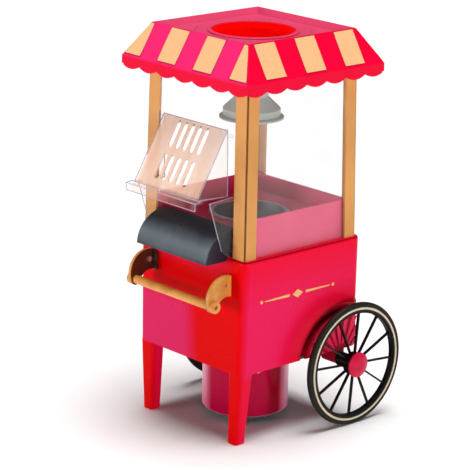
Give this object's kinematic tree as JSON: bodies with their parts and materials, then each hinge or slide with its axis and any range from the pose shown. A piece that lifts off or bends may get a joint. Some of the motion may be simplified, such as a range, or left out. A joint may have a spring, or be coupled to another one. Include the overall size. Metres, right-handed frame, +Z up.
{
  "type": "popcorn maker",
  "caption": "Hot-air popcorn maker shaped like a fairground cart: red body, striped scalloped canopy, clear display case with slotted hood, dark chute, spoked wheels and push handle.",
  "frame": {"origin": "on the floor, in the middle of the overall width and length", "axes": "+Z up, the chute and handle face -Y, the wheels' axle runs along X"},
  "size_m": [0.2118, 0.2405, 0.4016],
  "materials": {
    "red_shell": "glossy moulded plastic",
    "red_inner": "glossy moulded plastic",
    "dark_floor": "fine matt moulding grain",
    "cream_stripe": "satin print",
    "gold_plastic": "satin moulded plastic",
    "gold_print": "satin raised print",
    "pale_line": "satin",
    "clear_plastic": "clear polished plastic",
    "clear_hood": "clear polished plastic",
    "slate_plastic": "satin moulded plastic",
    "kettle_grey": "satin moulded plastic",
    "black_plastic": "satin moulded plastic",
    "switch_red": "glossy",
    "tyre_rubber": "matt rubber",
    "foot_rubber": "matt rubber",
    "axle_steel": "bright drawn",
    "screw_steel": "zinc plated",
    "motor_can": "zinc plated, pressed",
    "chamber_aluminium": "spun and anodised",
    "mica": "split sheet",
    "heating_wire": "drawn, dull",
    "control_ceramic": "matt"
  },
  "bodies": {
    "cart": {"air_duct": "black_plastic", "arch_ribs_left": "red_shell", "arch_ribs_right": "red_shell", "axle": "axle_steel", "axle_bracket_left": "red_shell", "axle_bracket_right": "red_shell", "base_plate": "dark_floor", "base_shell": "red_shell", "body_floor": "dark_floor", "cart_body": "red_shell", "chute": "slate_plastic", "floor_screws": "screw_steel", "front_pane": "clear_plastic", "handle_bar": "gold_plastic", "handle_bracket_left": "gold_plastic", "handle_bracket_right": "gold_plastic", "handle_screws": "screw_steel", "heating_coil": "heating_wire", "hopper": "red_inner", "lead_inlet": "foot_rubber", "leg_left": "red_shell", "leg_right": "red_shell", "mica_frame": "mica", "motor": "motor_can", "motor_mount": "screw_steel", "popping_chamber": "chamber_aluminium", "post_front_left": "gold_plastic", "post_front_right": "gold_plastic", "post_rear_left": "gold_plastic", "post_rear_right": "gold_plastic", "rear_window": "clear_plastic", "rubber_feet": "foot_rubber", "side_ornaments": "gold_print", "side_window_left": "clear_plastic", "side_window_right": "clear_plastic", "spill_guards": "clear_plastic", "switch_frame": "black_plastic", "thermal_fuse": "control_ceramic", "thermostat": "control_ceramic", "top_frame": "red_inner"},
    "roof": {"canopy": "red_shell", "roof_stripes": "cream_stripe", "kettle": "kettle_grey"},
    "cup": {"measuring_cup": "red_shell"},
    "hood": {"hood": "clear_hood"},
    "wheel_left": {"tyre_left": "tyre_rubber", "pale_line_left": "pale_line", "rim_left": "black_plastic", "hub_cap_left": "red_shell"},
    "wheel_right": {"tyre_right": "tyre_rubber", "pale_line_right": "pale_line", "rim_right": "black_plastic", "hub_cap_right": "red_shell"},
    "rotor": {"fan": "black_plastic", "motor_shaft": "axle_steel"},
    "rocker": {"switch_rocker": "switch_red"}
  },
  "joints": [
    {"name": "roof_lift", "type": "slide", "parent": "cart", "child": "roof", "axis": [0, 0, 1], "range_m": [0, 0.06]},
    {"name": "cup_lift", "type": "slide", "parent": "roof", "child": "cup", "axis": [0, 0, 1], "range_m": [0, 0.05]},
    {"name": "hood_hinge", "type": "hinge", "parent": "cart", "child": "hood", "pos_m": [0, -0.07625, 0.3101], "axis": [-1, 0, 0], "range_deg": [0, 70]},
    {"name": "wheel_left_spin", "type": "hinge", "parent": "cart", "child": "wheel_left", "pos_m": [0, 0.05645, 0.0638], "axis": [1, 0, 0], "continuous": true},
    {"name": "wheel_right_spin", "type": "hinge", "parent": "cart", "child": "wheel_right", "pos_m": [0, 0.05645, 0.0638], "axis": [1, 0, 0], "continuous": true},
    {"name": "fan_spin", "type": "hinge", "parent": "cart", "child": "rotor", "pos_m": [0, -0.00225, 0.0616], "axis": [0, 0, 1], "continuous": true},
    {"name": "rocker_tilt", "type": "hinge", "parent": "cart", "child": "rocker", "pos_m": [0, 0.07335, 0.1516], "axis": [1, 0, 0], "range_deg": [0, 16]}
  ]
}
